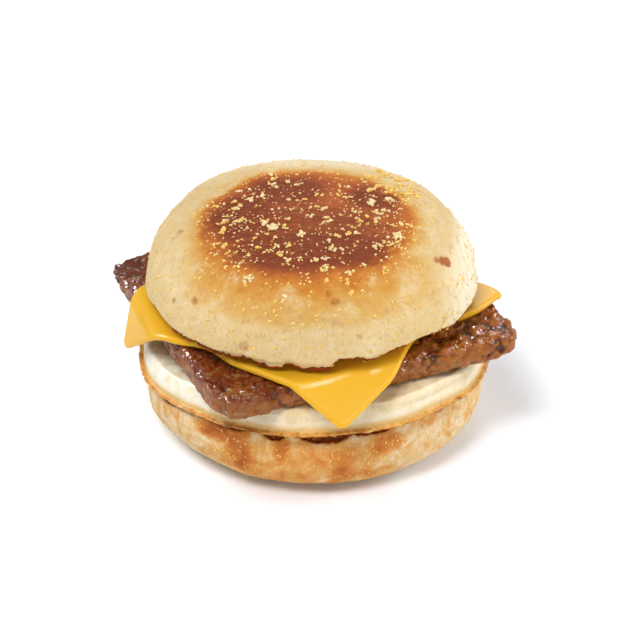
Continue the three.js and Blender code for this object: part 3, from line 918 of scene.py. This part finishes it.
def sausage_patty():
    half, half_depth = np.array(SAUSAGE_SIDES) / 2
    height = SAUSAGE_TOP - SAUSAGE_BOTTOM
    under = arc((half - SAUSAGE_EDGE, 0), (half, SAUSAGE_EDGE), 16)
    over = under[::-1] * [1, -1] + [0, height]
    profile = np.concatenate([[[0, 0], [half * 0.5, 0]], under, over, [[half * 0.5, height], [0, height]]])

    angle, radius, z, faces = turned(profile, SAUSAGE_MESH, lambda r, z: (z < 1) & (r < half - 8))
    across, along = np.abs(np.cos(angle)), np.abs(np.sin(angle))
    corner = (across**SAUSAGE_SQUARENESS + along**SAUSAGE_SQUARENESS) ** (-1 / SAUSAGE_SQUARENESS)
    outline = [(3, 0.8, 0.35), (5, 1.9, 0.3), (8, 0.4, 0.25), (13, 2.7, 0.2)]
    reach = smoothstep(0.5, 1, radius / half)
    spread = radius * corner + reach * (waves(angle, outline) + hollowed(angle, SAUSAGE_BULGES))
    x, y = spread * np.cos(angle), spread * np.sin(angle) * half_depth / half
    # The back left corner is pressed thinner.
    raised, lowered = 2.6, 2.0  # how far its underside and its top give way there
    thinned = 1 - smoothstep(4, 20, np.hypot(x + half, y - half_depth))
    lift = thinned * (raised * (1 - z / height) - lowered * z / height)
    x, y = rotated(x, y, SAUSAGE_TURN)
    places = np.stack([x + SAUSAGE_CENTRE[0], y + SAUSAGE_CENTRE[1], z + lift + SAUSAGE_BOTTOM], 1)
    # The front left corner is seared flat and dark, the right is coarse and paler, and the sides smoother.
    wall = smoothstep(half - 3, half - 0.5, radius) * (1 - smoothstep(height - 3.5, height - 1.2, z))
    coarse = (0.4 + 0.6 * smoothstep(-4, 26, places[:, 0])) * (1 - 0.75 * wall) + 0.5 * thinned
    seared = 1 - smoothstep(-10, 28, places[:, 0])
    piece = new_piece(
        "griddled_patty", places, faces, coarse=coarse, seared=seared, wall=wall, corner=thinned)
    return run_tree(piece, sausage_relief())


# ---------------------------------------------------------------- the cheese
# Each bend starts at a straight line, so far from the Z axis in its direction: (direction, distance, angle,
# radius).
CHEESE_BENDS = [
    (-66.6, 43.4, 33, 4.5),
    (197.5, 45.9, 66, 5),
    (25, 46.5, 35, 4.5),
    (113, 48, 40, 5),
]
# Where its sides are drawn in, each on the side that faces against its axis: (axis, along it, half width,
# depth).
CHEESE_DENTS = [
    (0, 6.0, 12.0, 2.8),
    (1, 4.0, 24.0, 5.8),
]
# Soft ridges where the slice turns over the sausage's edge: (one end, other end, depth, half width). Their
# depth is negative, as they stand up.
CHEESE_RIDGES = [
    ((-7.0, -52.6, 40.2), (-1.0, -51.0, 40.2), -0.26, 2.0),
    ((-1.0, -51.0, 40.2), (4.5, -48.4, 40.2), -0.32, 2.0),
    ((4.5, -48.4, 40.2), (9.0, -45.4, 40.3), -0.26, 2.0),
    ((15.8, -43.8, 40.2), (17.8, -42.8, 40.2), -0.22, 1.8),
]


def bent(places, normals, bend):
    """Turns down whatever lies beyond a bend's line, and the normals with it."""
    direction, distance, full_turn, radius = bend
    heading = np.array([math.cos(math.radians(direction)), math.sin(math.radians(direction))])
    full = math.radians(full_turn)
    beyond = np.maximum(places[:, :2] @ heading - distance, 0)
    slope = np.minimum(beyond / radius, full)
    straight = np.maximum(beyond - radius * full, 0)
    level = radius * np.sin(slope) + straight * math.cos(full)
    drop = radius * (1 - np.cos(slope)) + straight * math.sin(full)
    places[:, :2] += (level - beyond)[:, None] * heading
    places[:, 2] -= drop
    past = beyond > 0
    normals[past, :2] = np.sin(slope[past])[:, None] * heading
    normals[past, 2] = np.cos(slope[past])


def cheese_slice():
    # The rows lie closer together towards the outline, where the edge is rounded.
    rows = np.sin(np.linspace(-1, 1, CHEESE_CELLS + 1) * math.pi / 2 * 0.93)
    rows /= rows[-1]
    half = np.array(CHEESE_SIDES) / 2
    u, v = np.meshgrid(rows * half[0], rows * half[1], indexing="ij")
    flat = np.stack([u.ravel(), v.ravel()], 1)
    # Round corners: beyond the inner rectangle, each square ring becomes a round one.
    inner = half - CHEESE_CORNER
    over = np.maximum(np.abs(flat) - inner, 0)
    reach = np.maximum(np.hypot(*over.T), 1e-9)
    in_corner = (over > 0).all(1)
    pull = np.where(in_corner, over.max(1) / reach, 1)
    over *= pull[:, None]
    flat = np.sign(flat) * (np.minimum(np.abs(flat), inner) + over)
    outside = np.where(in_corner, np.hypot(*over.T), over.max(1))
    from_edge = np.where(outside > 0, CHEESE_CORNER - outside, np.min(half - np.abs(flat), axis=1))
    part = np.clip(from_edge / CHEESE_ROUNDING, 0, 1)
    thick = CHEESE_THICKNESS / 2 * np.sqrt(1 - (1 - part) ** 2)

    for axis, along, half_width, depth in CHEESE_DENTS:
        near = 1 - smoothstep(0, half_width, np.abs(flat[:, 1 - axis] - along))
        flat[:, axis] += depth * near * smoothstep(0.4, 1, -flat[:, axis] / half[axis])

    x, y = rotated(*flat.T, CHEESE_TURN)
    level = np.full(len(flat), CHEESE_TOP - CHEESE_THICKNESS / 2)
    middle = np.stack([x + CHEESE_CENTRE[0], y + CHEESE_CENTRE[1], level], 1)
    normals = np.tile([0.0, 0.0, 1.0], (len(flat), 1))
    for bend in CHEESE_BENDS:
        bent(middle, normals, bend)

    # Two skins, joined along the outline.
    count = CHEESE_CELLS + 1
    upper = np.arange(count * count).reshape(count, count)
    on_outline = np.ones((count, count), bool)
    on_outline[1:-1, 1:-1] = False
    lower = upper.copy()
    lower[~on_outline] = count * count + np.arange((~on_outline).sum())
    inside = ~on_outline.ravel()
    places = np.concatenate([middle + normals * thick[:, None], (middle - normals * thick[:, None])[inside]])
    places = pressed_in(places, (0, 0, -500), CHEESE_RIDGES)
    quads = [
        np.stack([upper[:-1, :-1], upper[1:, :-1], upper[1:, 1:], upper[:-1, 1:]], -1),
        np.stack([lower[:-1, :-1], lower[:-1, 1:], lower[1:, 1:], lower[1:, :-1]], -1),
    ]
    return new_piece("melted_cheese", places, np.concatenate([q.reshape(-1, 4) for q in quads]).tolist())


# ---------------------------------------------------------------- cornmeal
def cornmeal_tree(material):
    """Scatters grains of cornmeal, by three numbers on the surface's vertices.

    dusting is how thickly they lie, coarse how large they are and yellow how yellow, each from 0 to 1.
    """
    add, size, place, finish, dusting, coarse, yellow = new_shape_tree("cornmeal", {
        "Grains per cm2": 60.0, "Smallest": 0.3, "Largest": 0.9, "Pile height": 0.0, "Chip": 0.25, "Seed": 1,
    }, "dusting", "coarse", "yellow")
    per_m2 = add("Math", (size["Grains per cm2"], 1e4), "MULTIPLY")
    density = add("Math", (dusting, per_m2), "MULTIPLY")
    points = add("DistributePointsOnFaces", {
        "Mesh": size["Geometry"], "Density": density, "Seed": size["Seed"]}, distribute_method="RANDOM").node
    grain = add("MeshUVSphere", {"Radius": 0.5 * MM, "Segments": 7, "Rings": 4})
    grain = add("SetShadeSmooth", {"Geometry": grain})
    chance = add("RandomValue", {"Seed": size["Seed"]}, data_type="FLOAT")
    large = add("Math", (chance, chance), "MULTIPLY")
    large = add("Math", (large, 0.4), "MULTIPLY")
    large = add("Math", (coarse, 0.6, large), "MULTIPLY_ADD")
    across = add("MapRange", {"Value": large, "To Min": size["Smallest"], "To Max": size["Largest"]})
    uneven = add("RandomValue", {
        "Min": (0.75, 0.6, 0.45), "Max": (1.35, 1.0, 0.8), "Seed": 7}, data_type="FLOAT_VECTOR")
    scales = add("VectorMath", {0: uneven, "Scale": across}, "SCALE")
    spin = add("RandomValue", {"Max": (0.6, 0.6, 6.28), "Seed": 3}, data_type="FLOAT_VECTOR")
    rotation = add("RotateRotation", {
        "Rotation": points.outputs["Rotation"], "Rotate By": add("EulerToRotation", {0: spin}),
    }, rotation_space="LOCAL")
    lift = add("RandomValue", {"Max": size["Pile height"], "Seed": 8}, data_type="FLOAT")
    lift = add("Math", (lift, coarse), "MULTIPLY")
    lift = add("Math", (lift, MM), "MULTIPLY")
    lift = add("CombineXYZ", {"Z": lift})
    lifted = add("SetPosition", {"Geometry": points.outputs["Points"], "Offset": lift})
    instances = add("InstanceOnPoints", {
        "Points": lifted, "Instance": grain, "Rotation": rotation, "Scale": scales})
    tone = add("RandomValue", {"Min": -0.18, "Max": 0.18, "Seed": 5}, data_type="FLOAT")
    tone = add("Math", (tone, yellow), "ADD")
    toned = add("StoreNamedAttribute", {
        "Geometry": instances, "Name": "tone", "Value": tone}, data_type="FLOAT", domain="INSTANCE")
    real = add("RealizeInstances", {"Geometry": toned})
    # Each grain is chipped by noise 0.6 mm wide.
    chip = add("TexNoise", {"Vector": place, "Scale": 1 / 0.6, "Detail": 1.0}, output="Color")
    chip = add("VectorMath", (chip, (0.5, 0.5, 0.5)), "SUBTRACT")
    reach = add("Math", (size["Chip"], 2 * MM), "MULTIPLY")
    chip = add("VectorMath", {0: chip, "Scale": reach}, "SCALE")
    chipped = add("SetPosition", {"Geometry": real, "Offset": chip})
    return finish(add("SetMaterial", {"Geometry": chipped, "Material": material}))


def random_heaps(seed, count, middle, half, radii, yellow, links):
    """Heaps scattered over an ellipse, in chains of up to links touching heaps: (x, y, radius, yellow)."""
    random = np.random.default_rng(seed)
    heaps = []
    for _ in range(count):
        turn, share = random.uniform(0, 2 * math.pi), math.sqrt(random.uniform(0, 1))
        x = middle[0] + half[0] * share * math.cos(turn)
        y = middle[1] + half[1] * share * math.sin(turn)
        radius = random.uniform(*radii)
        tone = random.uniform(*yellow)
        heading = random.uniform(-0.6, 0.6)
        for _ in range(random.integers(1, links + 1)):
            heaps.append((x, y, radius, tone))
            # The next heap of the chain touches this one.
            heading += random.uniform(-0.9, 0.9)
            x += radius * 1.3 * math.cos(heading)
            y += radius * 1.3 * math.sin(heading) * 0.7
            radius *= random.uniform(0.7, 1.05)
    return heaps


def heap_fields(at, heaps):
    """How much each place lies inside a heap, how large that heap is, and how yellow."""
    dusting, coarse, yellow = (np.zeros(len(at)) for _ in range(3))
    for x, y, radius, tone in heaps:
        near = np.flatnonzero(np.abs(at[:, 0] - x) + np.abs(at[:, 1] - y) < 2 * radius)
        away = np.hypot(at[near, 0] - x, at[near, 1] - y) / radius
        amount = 1 - smoothstep(0.7, 1.15, away)
        closer = amount > dusting[near]
        dusting[near[closer]] = amount[closer]
        coarse[near[closer]] = np.clip(radius / 2, 0, 1)
        yellow[near[closer]] = tone
    return dusting, coarse, yellow


def scattered(piece, tree, name, dusting, coarse, yellow, **sizes):
    """Cornmeal scattered on a piece, as a new piece of its own."""
    for field, values in (("dusting", dusting), ("coarse", coarse), ("yellow", yellow)):
        set_field(piece, field, values)
    return run_tree(piece, tree, name, **sizes)


def crown_cornmeal(crown, tree):
    """The crown's cornmeal: heaps on its patch, a loose dust between them, and flecks down its sides."""
    at = vertex_places(crown)
    above = at[:, 2] > CROWN_BOTTOM + CROWN_HEIGHT / 3
    middle, half = CROWN_PATCH
    # Grains stand out past a heap's edge, so the heaps that show are laid smaller.
    heaps = [(x, y, 0.72 * radius, tone) for x, y, radius, tone in CROWN_HEAPS]
    # Small heaps lie all over the patch, and yellower ones at its right and back.
    heaps += random_heaps(21, 135, middle, (half[0] * 1.05, half[1] * 1.02), (0.35, 0.8), (0.1, 0.9), 4)
    heaps += random_heaps(22, 34, (22, 10), (9, 11), (0.5, 0.95), (0.8, 1.0), 3)
    dusting, coarse, yellow = heap_fields(at, heaps)
    clumps = scattered(crown, tree, "cornmeal_clumps", dusting * above, coarse, yellow, **{
        "Grains per cm2": 200.0, "Smallest": 0.55, "Largest": 1.7, "Pile height": 0.7})
    away = from_patch(at)
    loose = scattered(crown, tree, "cornmeal_dust", above * (1 - smoothstep(0.95, 1.3, away)), 0.1, 0.4, **{
        "Grains per cm2": 18.0, "Smallest": 0.35, "Largest": 1.2, "Chip": 0.15, "Seed": 4})
    on_side = smoothstep(CROWN_BOTTOM + 1, CROWN_BOTTOM + 5, at[:, 2]) * smoothstep(0.85, 1.1, away)
    flecks = scattered(crown, tree, "cornmeal_flecks", on_side, 0.3, 0.7, **{
        "Grains per cm2": 5.5, "Smallest": 0.5, "Largest": 1.9, "Chip": 0.15, "Seed": 17})
    return clumps, loose, flecks


def base_cornmeal(base, tree):
    """Fine cornmeal on the base's side."""
    at = vertex_places(base)
    below_rim = 1 - smoothstep(BASE_HEIGHT - 3, BASE_HEIGHT - 1, at[:, 2])
    grit = scattered(base, tree, "cornmeal_base", below_rim * smoothstep(0, 1.5, at[:, 2]), 0.15, 0.5, **{
        "Grains per cm2": 26.0, "Smallest": 0.35, "Largest": 1.0, "Chip": 0.15, "Seed": 12})
    return (grit,)


# ---------------------------------------------------------------- build
base = muffin_base()
egg = egg_patty()
patty = sausage_patty()
cheese = cheese_slice()
crown = muffin_crown()
maize = cornmeal_tree(cornmeal_finish())
on_crown = crown_cornmeal(crown, maize)
on_base = base_cornmeal(base, maize)

for piece, node, slot, finish in (
    (base, "muffin_base", "muffin_base", base_finish),
    (egg, "egg_patty", "egg", egg_finish),
    (patty, "sausage_patty", "sausage", sausage_finish),
    (cheese, "cheese_slice", "cheese", cheese_finish),
    (crown, "muffin_crown", "muffin_crown", crown_finish),
):
    piece.data.materials.clear()
    piece.data.materials.append(finish())
    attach(piece, "root")
    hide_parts(node)
for pieces, slot in ((on_crown, "muffin_crown"), (on_base, "muffin_base")):
    for piece in pieces:
        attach(piece, "root")

# ---------------------------------------------------------------- camera, lights and floor
# The camera was fitted to the photo: its focal length is in pixels of a square frame.
CAMERA_ELEVATION = 28.8
CAMERA_DISTANCE = 650.0
CAMERA_TARGET = Vector((1.8, 0.0, 31.4))
FRAME_PIXELS = 640
FOCAL_PIXELS = 2226.0
SENSOR = 36.0  # mm wide

# Softboxes round the food's middle: (name, direction, elevation, distance, side, watts). The first is the
# key, which throws the shadow to the right and back; the second and third light the two sides.
SOFTBOXES = [
    ("key", -115, 55, 900, 330, 5.9),
    ("left", 155, 34, 900, 420, 3.4),
    ("right", 10, 21, 900, 420, 5.7),
    ("back", 80, 25, 900, 420, 1.8),
    ("front", -78, 16, 900, 420, 2.1),
]
# Lamps that only show as highlights on what is moist or waxy.
GLINTS = [
    ("right glint", -31, 54, 900, 130, 5.0),
    ("left glint", 172, 32, 900, 260, 17.0),
    ("top glint", 60, 62, 900, 260, 12.0),
]
FOOD_MIDDLE = Vector((0, 0, 35))


def around(middle, direction, elevation, distance):
    """A place at a distance from a middle, in a compass direction and at an elevation."""
    turn, tilt = math.radians(direction), math.radians(elevation)
    flat = distance * math.cos(tilt)
    return middle + Vector((flat * math.cos(turn), flat * math.sin(turn), distance * math.sin(tilt)))


def aim(thing, place, target):
    """Puts a camera or a lamp at a place in mm, pointing at a target."""
    thing.location = place * MM
    thing.rotation_mode = "QUATERNION"
    thing.rotation_quaternion = (target - place).to_track_quat("-Z", "Y")


scene = bpy.context.scene
camera_data = bpy.data.cameras.new("camera")
camera_data.sensor_width = SENSOR
camera_data.lens = FOCAL_PIXELS * SENSOR / FRAME_PIXELS
camera_data.clip_start = 0.01  # metres
camera = linked("camera", camera_data)
aim(camera, around(CAMERA_TARGET, -90, CAMERA_ELEVATION, CAMERA_DISTANCE), CAMERA_TARGET)
scene.camera = camera

for name, direction, elevation, distance, side, watts in SOFTBOXES + GLINTS:
    lamp = bpy.data.lights.new(name, "AREA")
    lamp.shape = "SQUARE"
    lamp.size = side * MM
    lamp.energy = watts
    softbox = linked(name, lamp)
    aim(softbox, around(FOOD_MIDDLE, direction, elevation, distance), FOOD_MIDDLE)
    softbox.visible_diffuse = name not in [glint[0] for glint in GLINTS]

# The room is dim white to the food and plain white to the camera.
ROOM_LIGHT = 0.12
world = bpy.data.worlds.new("white_studio")
world.use_nodes = True
world.node_tree.nodes.clear()
add = partial(add_node, world.node_tree)
seen = add("LightPath", output="Is Camera Ray")
strength = add("MapRange", {"Value": seen, "To Min": ROOM_LIGHT, "To Max": 1.0})
add("OutputWorld", {"Surface": add("Background", {"Color": "#ffffff", "Strength": strength})})
scene.world = world
scene.view_settings.view_transform = "Standard"

FLOOR_REACH = 6.0  # metres from the middle to each side
corners = [(-1, -1), (1, -1), (1, 1), (-1, 1)]
floor_mesh = bpy.data.meshes.new("floor")
floor_mesh.from_pydata([(x * FLOOR_REACH, y * FLOOR_REACH, 0) for x, y in corners], [], [(0, 1, 2, 3)])
floor = linked("floor", floor_mesh)
paper, add, _ = new_material("white_paper_sweep")
floor_mesh.materials.append(finish_material(paper, add, {"Base Color": "#f2f6fd", "Roughness": 0.9}))
